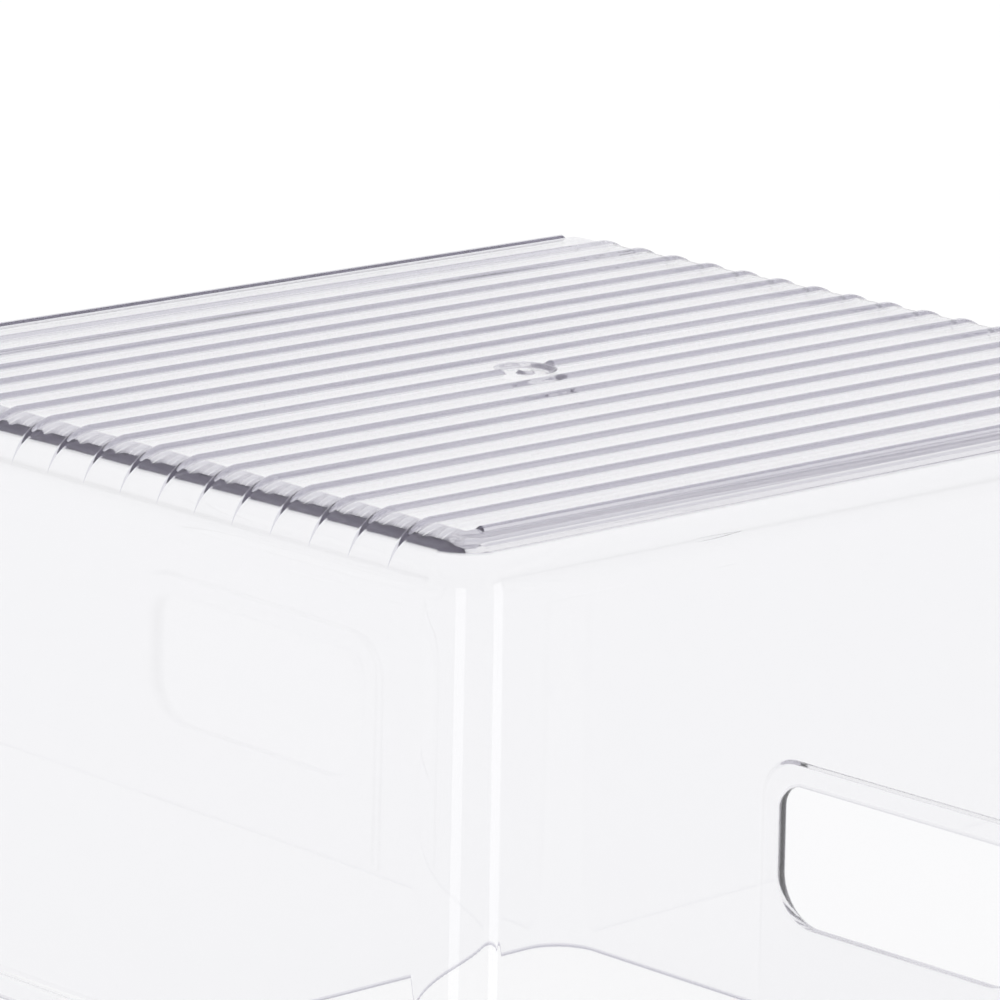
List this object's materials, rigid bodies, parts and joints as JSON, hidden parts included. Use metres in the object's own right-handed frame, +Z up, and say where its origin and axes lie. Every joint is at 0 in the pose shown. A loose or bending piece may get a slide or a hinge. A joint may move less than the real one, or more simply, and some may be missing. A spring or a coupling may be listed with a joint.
{
  "type": "fridge bin",
  "caption": "Clear plastic fridge bin, an open-topped box stored upside down on its rim, with a ribbed base, rounded edges and a finger slot with a raised pad in each end wall.",
  "frame": {"origin": "centre of the rim's plane, which is the lowest plane of the part as it stands in the picture", "axes": "+Z up from the rim to the ribbed base, so the bin is upside down; +X along the ribs, towards one handle wall; +Y across the ribs, towards a plain wall; turn it half a turn about +X to use it"},
  "size_m": [0.214, 0.1964, 0.1532],
  "materials": {
    "clear_plastic": "glossy clear"
  },
  "bodies": {
    "root": {"base_panel": "clear_plastic", "base_rib_01": "clear_plastic", "base_rib_02": "clear_plastic", "base_rib_03": "clear_plastic", "base_rib_04": "clear_plastic", "base_rib_05": "clear_plastic", "base_rib_06": "clear_plastic", "base_rib_07": "clear_plastic", "base_rib_08": "clear_plastic", "base_rib_09": "clear_plastic", "base_rib_10": "clear_plastic", "base_rib_11": "clear_plastic", "base_rib_12": "clear_plastic", "base_rib_13": "clear_plastic", "base_rib_14": "clear_plastic", "base_rib_15": "clear_plastic", "base_rib_16": "clear_plastic", "base_rib_17": "clear_plastic", "base_rib_18": "clear_plastic", "base_rib_19": "clear_plastic", "gate_stub": "clear_plastic", "wall_front": "clear_plastic", "wall_back": "clear_plastic", "handle_wall_left": "clear_plastic", "handle_wall_right": "clear_plastic", "grip_pad_left": "clear_plastic", "grip_pad_right": "clear_plastic", "corner_front_left": "clear_plastic", "corner_front_right": "clear_plastic", "corner_back_left": "clear_plastic", "corner_back_right": "clear_plastic"}
  },
  "joints": []
}
